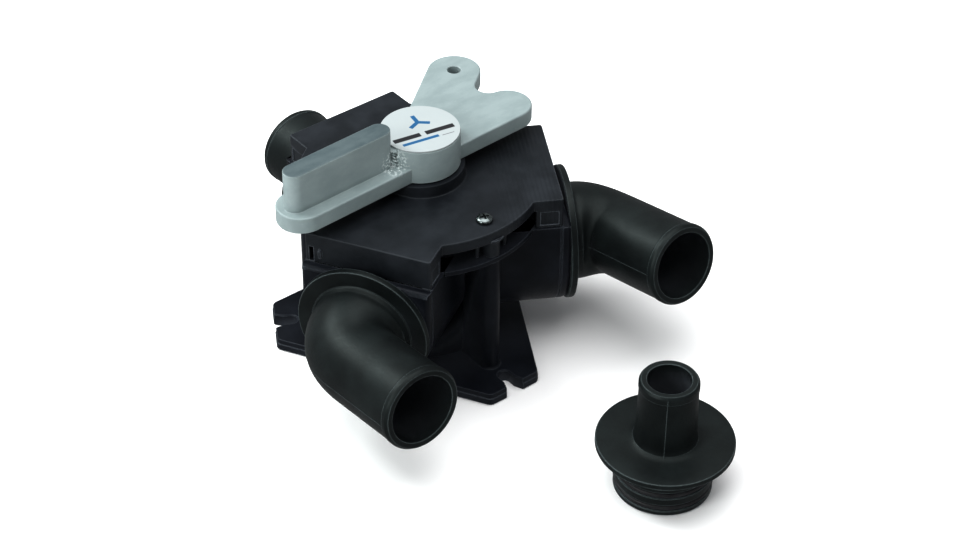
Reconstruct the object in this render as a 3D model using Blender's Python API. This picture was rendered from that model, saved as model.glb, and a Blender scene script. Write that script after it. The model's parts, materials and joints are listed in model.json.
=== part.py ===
"""Three-port diverter valve: two hose elbows, a straight hose tail, a lever and a loose reducer.

Frame: the spindle axis is Z, the mounting face is z = 0, and +Z points at the handle.
The three ports lie 120 degrees apart: a at 210, b at 330 and c at 90 degrees from +X.
Every dimension below is in millimetres; MM turns it into metres.
"""
import math

import bmesh
import bpy
from mathutils import Matrix, Vector

MM = 0.001
GAP = 0.3                     # clearance between neighbouring pieces

# Ports and feet
PORTS = {"a": 210.0, "b": 330.0, "c": 90.0}
ELBOW_TURN = {"a": 6.8, "b": 167.4}     # elbows at rest; port c holds the straight tail
CORNERS = {1: 30.0, 2: 150.0, 3: 270.0}

# Mounting base
BASE_THICK = 6.1
BASE_EDGE = 46.2              # spindle axis to the edge below each port
FOOT_REACH = 68.8             # spindle axis to each foot's end
CORNER_EASE = 3.0
SLOT_MOUTH = 10.4
SLOT_WIDTH = 6.0
SLOT_CENTRE = 61.0            # centre of the slot's round end
SLOT_NECK = 64.5              # where the slot starts to flare

# Body
BODY_TOP = 68.8
PORT_HEIGHT = 44.0
ARM_HALF = 30.2
ARM_END = 63.7
CORE_RADIUS = 36.0
RIM_RADIUS = 54.6
RIM_THICK = 2.6
COLUMN_REACH = 50.4
COLUMN_HALF = 4.15
CHAMBER_RADIUS = 32.0
CHAMBER_FLOOR = 14.0

# Port sockets and the plugs that fit them
SOCKET_RADIUS = 21.8
SOCKET_FLOOR = 40.8
PORT_HOLE = 15.6
SEAL_POCKET_RADIUS = 20.3
SEAL_POCKET_FLOOR = 37.0
PLUG_START = 41.2
PLUG_RADIUS = 21.4
PLUG_LENGTH = 22.8
GROOVE_RADIUS = 19.0
ORING_GROOVES = (3.0, 10.0)   # start of each groove from the plug's end
ORING_GROOVE_WIDTH = 3.0
CLIP_GROOVE = 15.5
CLIP_GROOVE_WIDTH = 2.5
ORING_CENTRE = 20.4
ORING_MINOR = 1.1

# Elbows and straight tail
BORE = 15.4
FLANGE_RADIUS = 30.65
FLANGE_THICK = 3.5
ELBOW_CORNER = 84.2           # spindle axis to the corner of the bend
ELBOW_LEG = 54.8
ELBOW_BEND = 60.0
BEND_RADIUS = 23.0
ROOT_RADIUS = 23.2
BEND_START_RADIUS = 22.3
TAIL_RADIUS = 19.0
TAIL_CHAMFER = 0.7
STRAIGHT_END = 99.5           # spindle axis to the straight tail's end

# Top cover
COVER_TOP = 83.8
COVER_PLATE = 5.5
COVER_HALF = 29.4
COVER_END = 59.8
COVER_ARC = 54.9
SKIRT_WALL = 2.5
RING_OUTER = 40.0
RING_INNER = 33.5
NECK_RADIUS = 20.0
NECK_TOP = 89.7
SCREW_CIRCLE = 45.7
SCREW_HOLE = 2.3

# Rotor and spindle
ROTOR_RADIUS = 31.4
ROTOR_FLOOR = 16.6
ROTOR_TOP = 68.4
PASSAGE = 14.5
SPINDLE_RADIUS = 9.0
SPINDLE_BORE = 9.35
SPINDLE_TOP = 101.0
DRIVE_HALF = 5.5
STOP_DEGREES = 59.0           # width of the rotor's and the cover's stop lugs
COVER_STOP_HEADING = 210.0    # the cover's lug; the rotor's is opposite the grip

# Handle
HANDLE_HEADING = 182.5        # direction of the grip, degrees from +X
HUB_RADIUS = 18.0
HUB_TOP = 106.5
SCREW_SEAT = 102.6            # floor of the hub's recess for the washer
BAR_BOTTOM = 90.0
BAR_TOP = 98.0
BAR_HALF = 11.2
GRIP_REACH = 66.2             # centre of the grip's round end
TAIL_REACH = 51.5             # centre of the plain tail's round end
LOBE_REACH = 63.0             # centre of the holed tail's round end
LOBE_HALF = 12.3
LOBE_ANGLE = -144.3           # holed tail, from the grip's direction
NOTCH_FILLET = 6.0
LOBE_HOLE = 3.1
FIN_TOP = 117.0
FIN_HALF = 5.0
FIN_START = 22.9              # centres of the fin's two round ends
FIN_END = 69.2
WEB_HALF = 4.6                # web that joins the fin's inner end to the hub

# Loose reducer, standing on its plug end beside the valve
REDUCER_PLACE = (13.3, -152.7)
REDUCER_HEIGHT = 58.5
REDUCER_FLANGE = 30.0
REDUCER_FLANGE_THICK = 2.9
REDUCER_TAIL = 12.6
REDUCER_BORE = 9.4

BLACK = (0.022, 0.024, 0.03)
ELBOW_BLACK = (0.035, 0.042, 0.044)
RUBBER = (0.012, 0.012, 0.012)
GREY = (0.36, 0.43, 0.44)
STEEL = (0.62, 0.63, 0.64)
WHITE = (0.86, 0.87, 0.88)
ACETAL = (0.75, 0.75, 0.72)


# ---------------------------------------------------------------- helpers

def material(name, colour, roughness, metallic=0.0):
    """A Principled material with the part's own colour."""
    made = bpy.data.materials.new(name)
    made.use_nodes = True
    shader = made.node_tree.nodes["Principled BSDF"]
    shader.inputs["Base Color"].default_value = (*colour, 1.0)
    shader.inputs["Roughness"].default_value = roughness
    shader.inputs["Metallic"].default_value = metallic
    made.diffuse_color = (*colour, 1.0)
    return made


def turn_about_z(degrees):
    return Matrix.Rotation(math.radians(degrees), 4, "Z")


def turn_about_x(degrees):
    return Matrix.Rotation(math.radians(degrees), 4, "X")


def shift(x, y, z):
    return Matrix.Translation(Vector((x, y, z)) * MM)


def polar(degrees, radius):
    angle = math.radians(degrees)
    return radius * math.cos(angle), radius * math.sin(angle)


def arc(centre, radius, start, end, steps):
    """Points on an arc, both ends included, angles in degrees."""
    points = []
    for step in range(steps + 1):
        x, y = polar(start + (end - start) * step / steps, radius)
        points.append((centre[0] + x, centre[1] + y))
    return points


def place(name, mesh, matrix=None):
    thing = bpy.data.objects.new(name, mesh)
    bpy.context.scene.collection.objects.link(thing)
    if matrix is not None:
        thing.matrix_world = matrix
    return thing


def mesh_from(points, faces, name):
    """A mesh in metres from points in millimetres, its faces turned outward."""
    shape = bmesh.new()
    corners = [shape.verts.new(Vector(point) * MM) for point in points]
    for face in faces:
        shape.faces.new([corners[index] for index in face])
    bmesh.ops.recalc_face_normals(shape, faces=shape.faces)
    mesh = bpy.data.meshes.new(name)
    shape.to_mesh(mesh)
    shape.free()
    return mesh


def ring_points(centre, along, radius, count):
    """A circle of points around an axis direction."""
    along = Vector(along).normalized()
    side = Vector((0, 0, 1)).cross(along)
    if side.length < 0.01:
        side = Vector((1, 0, 0))
    side.normalize()
    up = along.cross(side)
    points = []
    for step in range(count):
        angle = 2 * math.pi * step / count
        points.append(Vector(centre) + radius * (math.cos(angle) * side + math.sin(angle) * up))
    return points


def hollow_of_rings(name, rings):
    """A closed tube wall: consecutive rings are joined, and the last meets the first."""
    count = len(rings[0])
    points = [point for ring in rings for point in ring]
    faces = []
    for row in range(len(rings)):
        after = (row + 1) % len(rings)
        for step in range(count):
            other = (step + 1) % count
            near = (row * count + step, row * count + other)
            faces.append((*near, after * count + other, after * count + step))
    return mesh_from(points, faces, name)


def solid_of_rings(name, rings):
    """A solid with flat ends: consecutive rings are joined and both ends are capped."""
    count = len(rings[0])
    points = [point for ring in rings for point in ring]
    faces = [tuple(range(count)), tuple(range((len(rings) - 1) * count, len(rings) * count))]
    for row in range(len(rings) - 1):
        for step in range(count):
            other = (step + 1) % count
            near = (row * count + step, row * count + other)
            faces.append((*near, (row + 1) * count + other, (row + 1) * count + step))
    return mesh_from(points, faces, name)


def turned(name, profile, count, axis=(0, 0, 1), hollow=False):
    """A turned piece from (distance along the axis, radius) pairs."""
    axis = Vector(axis)
    rings = [ring_points(axis * along, axis, radius, count) for along, radius in profile]
    return hollow_of_rings(name, rings) if hollow else solid_of_rings(name, rings)


def prism(name, outline, low, high):
    """An outline in X and Y raised from low to high along Z."""
    rings = [[(x, y, level) for x, y in outline] for level in (low, high)]
    return solid_of_rings(name, rings)


def sideways_prism(name, outline, start, end):
    """An outline in Y and Z drawn out along X from start to end."""
    rings = [[(level, y, z) for y, z in outline] for level in (start, end)]
    return solid_of_rings(name, rings)


def box(name, low, high):
    outline = [(low[0], low[1]), (high[0], low[1]), (high[0], high[1]), (low[0], high[1])]
    return prism(name, outline, low[2], high[2])


def combine(target, operation, tools):
    """Join the tools to the target or cut them away, and bake the result into its mesh."""
    for tool in tools:
        step = target.modifiers.new(operation.lower(), "BOOLEAN")
        step.operation = operation
        step.solver = "EXACT"
        step.object = tool
    bpy.context.view_layer.update()
    graph = bpy.context.evaluated_depsgraph_get()
    mesh = bpy.data.meshes.new_from_object(target.evaluated_get(graph))
    target.modifiers.clear()
    target.data = mesh
    for tool in tools:
        bpy.data.objects.remove(tool)
    return target


def join(target, tools):
    return combine(target, "UNION", tools)


def cut(target, tools):
    return combine(target, "DIFFERENCE", tools)


def around(angles, name, mesh, extra=None):
    """One copy of a mesh at each angle about the spindle axis."""
    extra = extra or Matrix.Identity(4)
    return [place(name, mesh, turn_about_z(angle) @ extra) for angle in angles]


def finish(thing, look, crease=35.0):
    """Give the piece its material and smooth its round faces."""
    mesh = thing.data
    mesh.materials.clear()
    mesh.materials.append(look)
    mesh.shade_smooth()
    mesh.set_sharp_from_angle(angle=math.radians(crease))
    return thing


# ---------------------------------------------------------------- outlines

def base_outline():
    """The base seen from above: a triangle whose corners are cut off and eased."""
    half = (2 * BASE_EDGE - FOOT_REACH) / math.sqrt(3)
    low_side = Vector((FOOT_REACH, -half))
    high_side = Vector((FOOT_REACH, half))
    along_edge = Vector(polar(120, CORNER_EASE))
    across_end = Vector((0, 0.7 * CORNER_EASE))
    end = [low_side + Vector((along_edge.x, -along_edge.y)), low_side + across_end,
           high_side - across_end, high_side + along_edge]
    points = []
    for heading in CORNERS.values():
        turn = Matrix.Rotation(math.radians(heading), 2)
        points.extend(tuple(turn @ point) for point in end)
    return points


def cover_outline(half, end, radius, steps=8):
    """The cover seen from above: three arms joined by arcs about the spindle."""
    reach = math.sqrt(radius * radius - half * half)
    lead = math.degrees(math.atan2(half, reach))
    points = []
    for heading in sorted(PORTS.values()):
        for along, side in ((end, -half), (end, half)):
            x, y = polar(heading, along)
            across_x, across_y = polar(heading + 90, side)
            points.append((x + across_x, y + across_y))
        points.extend(arc((0, 0), radius, heading + lead, heading + 120 - lead, steps))
    return points


def stadium(start, end, half, steps=8):
    """A bar along X with round ends centred at start and end."""
    return arc((end, 0), half, -90, 90, steps) + arc((start, 0), half, 90, 270, steps)


def slot_outline():
    half = SLOT_WIDTH / 2
    mouth = SLOT_MOUTH / 2
    beyond = FOOT_REACH + 1.0
    inner = arc((SLOT_CENTRE, 0), half, 90, 270, 8)
    return [(beyond, mouth), (SLOT_NECK, half)] + inner + [(SLOT_NECK, -half), (beyond, -mouth)]


def arm_outline():
    """An arm seen from its end: flat on top, half round below, as (across, height)."""
    bottom = [(x, PORT_HEIGHT + y) for x, y in arc((0, 0), ARM_HALF, 180, 360, 16)]
    return [(-ARM_HALF, BODY_TOP)] + bottom + [(ARM_HALF, BODY_TOP)]


def column_outline(start, reach, half):
    """A radial rib with a round nose, seen from above."""
    return [(start, half), (start, -half)] + arc((reach, 0), half, -90, 90, 6)


def sector_outline(inner, outer, degrees, steps=5):
    half = degrees / 2
    return arc((0, 0), outer, -half, half, steps) + arc((0, 0), inner, half, -half, steps)


# ---------------------------------------------------------------- pieces

def make_valve_body(look):
    """Base, core, three arms, three screw columns and the top rim in one moulding."""
    body = place("valve_body", prism("valve_body", base_outline(), 0, BASE_THICK))
    core = place("core", turned("core", [(1, CORE_RADIUS), (BODY_TOP, CORE_RADIUS)], 40))
    rim = place("rim", turned("rim", [(BODY_TOP - RIM_THICK, RIM_RADIUS), (BODY_TOP, RIM_RADIUS)], 60))
    arm = sideways_prism("arm", arm_outline(), 20, ARM_END)
    column = prism("column", column_outline(30, COLUMN_REACH, COLUMN_HALF), 2, BODY_TOP - 0.8)
    join(body, [core, rim])
    join(body, around(PORTS.values(), "arm", arm))
    join(body, around(CORNERS.values(), "column", column))

    chamber_profile = [(CHAMBER_FLOOR, CHAMBER_RADIUS), (80, CHAMBER_RADIUS)]
    chamber = place("chamber", turned("chamber", chamber_profile, 40))
    raise_axis = shift(0, 0, PORT_HEIGHT)
    socket = turned("socket", [(SOCKET_FLOOR, SOCKET_RADIUS), (70, SOCKET_RADIUS)], 28, (1, 0, 0))
    pocket_profile = [(20, SEAL_POCKET_RADIUS), (SEAL_POCKET_FLOOR, SEAL_POCKET_RADIUS)]
    pocket = turned("pocket", pocket_profile, 24, (1, 0, 0))
    hole = turned("hole", [(30, PORT_HOLE), (50, PORT_HOLE)], 24, (1, 0, 0))
    slit_start = PLUG_START + CLIP_GROOVE + 0.15
    slit = box("slit", (slit_start, -25.3, 29.7), (slit_start + 2.2, 25.3, 75))
    foot_slot = prism("foot_slot", slot_outline(), -1, BASE_THICK + 1)
    pilot = turned("pilot", [(50, SCREW_HOLE), (75, SCREW_HOLE)], 12)
    cut(body, [chamber])
    for mesh, name in ((socket, "socket"), (pocket, "pocket"), (hole, "hole")):
        cut(body, around(PORTS.values(), name, mesh, raise_axis))
    cut(body, around(PORTS.values(), "slit", slit))
    cut(body, around(CORNERS.values(), "foot_slot", foot_slot))
    cut(body, around(CORNERS.values(), "pilot", pilot, shift(SCREW_CIRCLE, 0, 0)))
    return finish(body, look)


def make_top_cover(look):
    """Top plate, skirts over the arms, clamping ring, screw bosses, neck and stop lug."""
    plate_low = COVER_TOP - COVER_PLATE
    outline = cover_outline(COVER_HALF, COVER_END, COVER_ARC)
    cover = place("top_cover", prism("top_cover", outline, plate_low, COVER_TOP))
    ring = [(BODY_TOP + 1.8, RING_INNER), (BODY_TOP + 1.8, RING_OUTER), (plate_low + 1, RING_OUTER),
            (plate_low + 1, RING_INNER)]
    skirt_low = BODY_TOP + 0.5
    reach = math.sqrt(COVER_ARC ** 2 - COVER_HALF ** 2) + 1.0
    inner_half = COVER_HALF - SKIRT_WALL
    inner_end = COVER_END - SKIRT_WALL
    skirt_outline = [(reach, -COVER_HALF), (COVER_END, -COVER_HALF), (COVER_END, COVER_HALF),
                     (reach, COVER_HALF), (reach, inner_half), (inner_end, inner_half),
                     (inner_end, -inner_half), (reach, -inner_half)]
    skirt = prism("skirt", skirt_outline, skirt_low, plate_low + 1)
    boss_outline = column_outline(RING_OUTER + 0.6, COLUMN_REACH, COLUMN_HALF - 0.2)
    boss = prism("boss", boss_outline, BODY_TOP + GAP, plate_low + 1)
    neck = turned("neck", [(COVER_TOP - 1, NECK_RADIUS), (NECK_TOP, NECK_RADIUS)], 40)
    lug = prism("lug", sector_outline(22, 30.5, STOP_DEGREES), ROTOR_TOP + 1, plate_low + 1)
    oval = [(y * 0.9 - 22.3, z * 2.6 + 74) for y, z in arc((0, 0), 1, 0, 315, 7)]
    nub = sideways_prism("nub", oval, COVER_END - 1.8, COVER_END + 0.8)
    join(cover, [place("ring", turned("ring", ring, 40, hollow=True))])
    join(cover, around(PORTS.values(), "skirt", skirt))
    join(cover, around(CORNERS.values(), "boss", boss))
    join(cover, [place("neck", neck), place("lug", lug, turn_about_z(COVER_STOP_HEADING))])
    join(cover, around(PORTS.values(), "nub", nub))

    bore = turned("bore", [(60, SPINDLE_BORE), (95, SPINDLE_BORE)], 32)
    screw_hole = turned("screw_hole", [(60, SCREW_HOLE), (95, SCREW_HOLE)], 12)
    notch = box("notch", (56, -27.4, 65), (61, -25.3, 77))
    cut(cover, [place("bore", bore)])
    cut(cover, around(CORNERS.values(), "screw_hole", screw_hole, shift(SCREW_CIRCLE, 0, 0)))
    cut(cover, around(PORTS.values(), "notch", notch))
    return finish(cover, look)


def make_gasket(look):
    """Flat ring between the body's top face and the cover's clamping ring."""
    low = BODY_TOP + GAP
    high = BODY_TOP + 1.8 - GAP
    profile = [(low, 33.0), (low, 39.5), (high, 39.5), (high, 33.0)]
    return finish(place("cover_gasket", turned("cover_gasket", profile, 36, hollow=True)), look)


def make_cover_screw(name, heading, look):
    """Pan-head screw with a cross recess, upright in a screw column."""
    seat = COVER_TOP + GAP
    profile = [(seat - 26, 1.0), (seat - 24, 1.95), (seat, 1.95), (seat, 3.65), (seat + 1.2, 3.65),
               (seat + 2.0, 2.4)]
    screw = place(name, turned(name, profile, 12))
    recess = box("recess", (-1.9, -0.45, seat + 0.7), (1.9, 0.45, seat + 3))
    cut(screw, around((0, 90), "recess", recess))
    screw.matrix_world = turn_about_z(heading) @ shift(SCREW_CIRCLE, 0, 0)
    return finish(screw, look)


def make_rotor(look):
    """Drum with a 120 degree passage, thrust flange, stop lug and spindle in one moulding."""
    profile = [(ROTOR_FLOOR, ROTOR_RADIUS), (ROTOR_TOP, ROTOR_RADIUS), (ROTOR_TOP, 20), (73.4, 20),
               (73.4, SPINDLE_RADIUS), (80.0, SPINDLE_RADIUS), (80.0, 7.4), (82.4, 7.4),
               (82.4, SPINDLE_RADIUS),
               (NECK_TOP + 0.2, SPINDLE_RADIUS)]
    rotor = place("rotor", turned("rotor", profile, 40))
    drive = box("drive", (-DRIVE_HALF, -DRIVE_HALF, 85), (DRIVE_HALF, DRIVE_HALF, SPINDLE_TOP))
    lug = prism("lug", sector_outline(15, 29.5, STOP_DEGREES), ROTOR_TOP - 1, 73.4 - GAP)
    join(rotor, [place("drive", drive), place("lug", lug, turn_about_z(180))])
    leg = turned("leg", [(-6.0, PASSAGE), (40, PASSAGE)], 24, (1, 0, 0))
    thread = place("thread", turned("thread", [(84, 2.3), (110, 2.3)], 12))
    cut(rotor, around((-120, 120), "leg", leg, shift(0, 0, PORT_HEIGHT)))
    cut(rotor, [thread])
    rotor.matrix_world = turn_about_z(HANDLE_HEADING)
    return finish(rotor, look)


def make_thrust_washer(look):
    low = CHAMBER_FLOOR + GAP
    high = ROTOR_FLOOR - GAP
    profile = [(low, 12), (low, 26), (high, 26), (high, 12)]
    return finish(place("thrust_washer", turned("thrust_washer", profile, 24, hollow=True)), look)


def torus(name, centre_radius, minor, count, sides, axis, along):
    section = arc((0, 0), minor, 0, 360 - 360 / sides, sides - 1)
    profile = [(along + y, centre_radius + x) for x, y in section]
    return turned(name, profile, count, axis, hollow=True)


def make_spindle_seal(look):
    mesh = torus("spindle_seal", 8.37, 0.65, 24, 6, (0, 0, 1), 81.2)
    return finish(place("spindle_seal", mesh), look)


def make_port_seal(name, heading, look):
    """Seal ring in the chamber wall around one port, hollowed to the rotor's curve."""
    profile = [(30.0, PORT_HOLE - 0.4), (30.0, SEAL_POCKET_RADIUS - GAP),
               (SEAL_POCKET_FLOOR - GAP, SEAL_POCKET_RADIUS - GAP),
               (SEAL_POCKET_FLOOR - GAP, PORT_HOLE - 0.4)]
    seal = place(name, turned(name, profile, 24, (1, 0, 0), hollow=True))
    drum = turned("drum", [(-40, ROTOR_RADIUS + GAP), (40, ROTOR_RADIUS + GAP)], 60)
    cut(seal, [place("drum", drum)])
    seal.matrix_world = turn_about_z(heading) @ shift(0, 0, PORT_HEIGHT)
    return finish(seal, look)


def plug_profile(start):
    """Plug from its free end to the flange: two O-ring grooves, then the clip's groove."""
    profile = [(start, PLUG_RADIUS)]
    grooves = [(groove, ORING_GROOVE_WIDTH) for groove in ORING_GROOVES] + [(CLIP_GROOVE, CLIP_GROOVE_WIDTH)]
    for groove, width in grooves:
        low = start + groove
        high = low + width
        profile += [(low, PLUG_RADIUS), (low, GROOVE_RADIUS), (high, GROOVE_RADIUS), (high, PLUG_RADIUS)]
    profile.append((start + PLUG_LENGTH, PLUG_RADIUS))
    return profile


def elbow_path(steps):
    """Centre line of the bend as (point, direction, distance run), in the X-Y plane."""
    bend = math.radians(ELBOW_BEND)
    run_in = BEND_RADIUS * math.tan(bend / 2)
    start = ELBOW_CORNER - run_in
    stations = []
    for step in range(steps + 1):
        angle = bend * step / steps
        x = start + BEND_RADIUS * math.sin(angle)
        y = BEND_RADIUS * (1 - math.cos(angle))
        stations.append(((x, y, 0), (math.cos(angle), math.sin(angle), 0), BEND_RADIUS * angle))
    leg_end = Vector((ELBOW_CORNER, 0, 0)) + ELBOW_LEG * Vector((math.cos(bend), math.sin(bend), 0))
    return stations, leg_end, Vector((math.cos(bend), math.sin(bend), 0))


def elbow_mesh(count=22, steps=5):
    """Swivelling elbow about the X axis: plug, flange, swept bend and hose tail."""
    flange_start = PLUG_START + PLUG_LENGTH
    flange_end = flange_start + FLANGE_THICK
    profile = plug_profile(PLUG_START) + [(flange_start, FLANGE_RADIUS), (flange_end, FLANGE_RADIUS)]
    rings = [ring_points((along, 0, 0), (1, 0, 0), radius, count) for along, radius in profile]
    rings.append(ring_points((flange_end, 0, 0), (1, 0, 0), ROOT_RADIUS, count))
    stations, leg_end, leg_direction = elbow_path(steps)
    bend_length = stations[-1][2]
    for point, direction, run in stations:
        share = 1 - run / bend_length
        radius = TAIL_RADIUS + (BEND_START_RADIUS - TAIL_RADIUS) * share
        rings.append(ring_points(point, direction, radius, count))
    rings.append(ring_points(leg_end - leg_direction * TAIL_CHAMFER, leg_direction, TAIL_RADIUS, count))
    rings.append(ring_points(leg_end, leg_direction, TAIL_RADIUS - TAIL_CHAMFER, count))
    rings.append(ring_points(leg_end, leg_direction, BORE, count))
    for point, direction, run in reversed(stations):
        rings.append(ring_points(point, direction, BORE, count))
    rings.append(ring_points((PLUG_START, 0, 0), (1, 0, 0), BORE, count))
    return hollow_of_rings("elbow", rings)


def straight_tail_mesh(count=40):
    """Straight hose tail about the X axis, with the elbows' plug and flange."""
    flange_start = PLUG_START + PLUG_LENGTH
    flange_end = flange_start + FLANGE_THICK
    profile = plug_profile(PLUG_START) + [(flange_start, FLANGE_RADIUS), (flange_end, FLANGE_RADIUS)]
    profile += [(flange_end, TAIL_RADIUS), (STRAIGHT_END - TAIL_CHAMFER, TAIL_RADIUS),
                (STRAIGHT_END, TAIL_RADIUS - TAIL_CHAMFER), (STRAIGHT_END, BORE), (PLUG_START, BORE)]
    return turned("straight_tail", profile, count, (1, 0, 0), hollow=True)


def make_port_fitting(name, mesh, port, turn, look, rubber):
    """A hose fitting in its port, turned about the port's axis, with its two O-rings."""
    matrix = turn_about_z(PORTS[port]) @ shift(0, 0, PORT_HEIGHT) @ turn_about_x(turn)
    finish(place(name, mesh, matrix), look)
    for place_name, groove in zip(("inner", "outer"), ORING_GROOVES):
        along = PLUG_START + groove + ORING_GROOVE_WIDTH / 2
        ring = torus("oring", ORING_CENTRE, ORING_MINOR, 18, 5, (1, 0, 0), along)
        finish(place(f"{name}_{place_name}_oring", ring, matrix), rubber)


def make_port_fittings(look, rubber):
    """Two elbows in ports a and b, and the straight tail in port c."""
    for port, turn in ELBOW_TURN.items():
        make_port_fitting(f"elbow_{port}", elbow_mesh(), port, turn, look, rubber)
    make_port_fitting("straight_tail", straight_tail_mesh(), "c", 0.0, look, rubber)


def make_port_clip(name, heading, look):
    """Flat fork that drops into an arm and holds the elbow by its clip groove."""
    start = PLUG_START + CLIP_GROOVE + 0.45
    throat = GROOVE_RADIUS + GAP
    inner = [(x, PORT_HEIGHT + y) for x, y in arc((0, 0), throat, 0, 180, 12)]
    outline = [(-25, 30), (-25, BODY_TOP - 0.4), (25, BODY_TOP - 0.4), (25, 30), (throat, 30), *inner,
               (-throat, 30)]
    clip = place(name, sideways_prism(name, outline, start, start + 1.6), turn_about_z(heading))
    return finish(clip, look)


def notch_web():
    """Web between the two tails: the corner where their edges meet, eased by a fillet."""
    angle = math.radians(180.0 + LOBE_ANGLE)
    lean = Vector((math.cos(angle), math.sin(angle)))
    left = Vector((-lean.y, lean.x))
    corner_run = (BAR_HALF + LOBE_HALF * left.y) / lean.y
    corner = lean * corner_run - left * LOBE_HALF
    half = angle / 2
    middle = corner + Vector((math.cos(half), math.sin(half))) * (NOTCH_FILLET / math.sin(half))
    tangent = NOTCH_FILLET / math.tan(half)
    low = corner + Vector((1, 0)) * tangent
    high = corner + lean * tangent
    start = math.degrees(math.atan2(*(low - middle).yx))
    end = math.degrees(math.atan2(*(high - middle).yx))
    if end > start:
        end -= 360
    curve = arc(middle, NOTCH_FILLET, start, end, 6)
    return [(10.0, 0.0), (low.x, low.y - 2.0)] + curve + [tuple(high + left * 2.0)]


def make_handle(look):
    """Lever: a flat bar with two tails, an upright grip fin and a round hub."""
    bar = prism("handle", stadium(-TAIL_REACH, GRIP_REACH, BAR_HALF), BAR_BOTTOM, BAR_TOP)
    handle = place("handle", bar)
    hub = turned("hub", [(BAR_BOTTOM, HUB_RADIUS), (HUB_TOP, HUB_RADIUS)], 40)
    lobe = prism("lobe", stadium(0, LOBE_REACH, LOBE_HALF), BAR_BOTTOM, BAR_TOP)
    web = prism("web", notch_web(), BAR_BOTTOM, BAR_TOP)
    fin = prism("fin", stadium(FIN_START, FIN_END, FIN_HALF), BAR_TOP - 2, FIN_TOP)
    fin_web = box("fin_web", (HUB_RADIUS - 4, -WEB_HALF, BAR_TOP - 2),
                  (FIN_START, WEB_HALF, HUB_TOP - 0.6))
    join(handle, [place("lobe", lobe, turn_about_z(LOBE_ANGLE))])
    join(handle, [place("web", web, turn_about_z(180))])
    join(handle, [place("hub", hub)])
    join(handle, [place("fin", fin)])
    join(handle, [place("fin_web", fin_web)])

    eye = turned("eye", [(80, LOBE_HOLE), (105, LOBE_HOLE)], 16)
    half = DRIVE_HALF + GAP
    drive = box("drive", (-half, -half, 80), (half, half, SPINDLE_TOP + GAP))
    shank = turned("shank", [(95, 2.8), (120, 2.8)], 16)
    sink = turned("sink", [(SCREW_SEAT, 6.2), (120, 6.2)], 24)
    cutters = [place("eye", eye, shift(*polar(LOBE_ANGLE, LOBE_REACH), 0)),
               place("drive", drive), place("shank", shank), place("sink", sink)]
    cut(handle, cutters)
    handle.matrix_world = turn_about_z(HANDLE_HEADING)
    return finish(handle, look)


def make_handle_fixings(look):
    """Washer and screw that pull the handle down onto the spindle, below the label."""
    low = SCREW_SEAT + GAP
    washer = [(low, 2.8), (low, 5.6), (low + 0.8, 5.6), (low + 0.8, 2.8)]
    finish(place("handle_washer", turned("handle_washer", washer, 16, hollow=True)), look)
    seat = low + 0.8 + GAP
    screw = [(seat - 16, 1.4), (seat - 14.5, 2.0), (seat, 2.0), (seat, 4.2), (seat + 1.2, 4.2),
             (seat + 1.9, 3.0)]
    finish(place("handle_screw", turned("handle_screw", screw, 12)), look)


def make_hub_label(look):
    profile = [(HUB_TOP + GAP, 17.6), (HUB_TOP + GAP + 0.5, 17.6)]
    return finish(place("hub_label", turned("hub_label", profile, 40)), look)


def make_reducer(look, rubber):
    """Loose reducing hose tail with the elbows' plug, standing upright on its plug end."""
    matrix = shift(*REDUCER_PLACE, 0)
    flange_top = PLUG_LENGTH + REDUCER_FLANGE_THICK
    profile = plug_profile(0)
    profile += [(PLUG_LENGTH, REDUCER_FLANGE), (flange_top, REDUCER_FLANGE),
                (flange_top, REDUCER_TAIL + 0.9), (flange_top + 1.2, REDUCER_TAIL),
                (REDUCER_HEIGHT - 0.6, REDUCER_TAIL), (REDUCER_HEIGHT, REDUCER_TAIL - 0.6),
                (REDUCER_HEIGHT, REDUCER_BORE), (26, REDUCER_BORE), (12, BORE), (0, BORE)]
    finish(place("reducer", turned("reducer", profile, 24, hollow=True), matrix), look)
    for place_name, groove in zip(("lower", "upper"), ORING_GROOVES):
        along = groove + ORING_GROOVE_WIDTH / 2
        ring = torus("oring", ORING_CENTRE, ORING_MINOR, 20, 5, (0, 0, 1), along)
        finish(place(f"reducer_{place_name}_oring", ring, matrix), rubber)


def main():
    for thing in list(bpy.data.objects):
        bpy.data.objects.remove(thing)
    black = material("body_plastic", BLACK, 0.42)
    elbow_black = material("elbow_plastic", ELBOW_BLACK, 0.5)
    rubber = material("seal_rubber", RUBBER, 0.7)
    grey = material("handle_plastic", GREY, 0.45)
    steel = material("stainless_steel", STEEL, 0.3, 1.0)
    white = material("label_face", WHITE, 0.4)
    acetal = material("rotor_plastic", ACETAL, 0.4)

    make_valve_body(black)
    make_gasket(rubber)
    make_top_cover(black)
    for number, heading in CORNERS.items():
        make_cover_screw(f"cover_screw_{number}", heading, steel)
    make_rotor(acetal)
    make_thrust_washer(acetal)
    make_spindle_seal(rubber)
    for port, heading in PORTS.items():
        make_port_seal(f"port_seal_{port}", heading, rubber)
        make_port_clip(f"port_clip_{port}", heading, steel)
    make_port_fittings(elbow_black, rubber)
    make_handle(grey)
    make_handle_fixings(steel)
    make_hub_label(white)
    make_reducer(elbow_black, rubber)


main()
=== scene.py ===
"""Looks of a three-port diverter valve: eased plastic mouldings, seams, screws, label and light.

Lengths are in millimetres until a mesh is made; MM turns them into metres. Places come from
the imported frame: its boxes, joints and mounts.
"""

import json
import math

import bmesh
import bpy
from mathutils import Matrix, Vector


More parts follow.
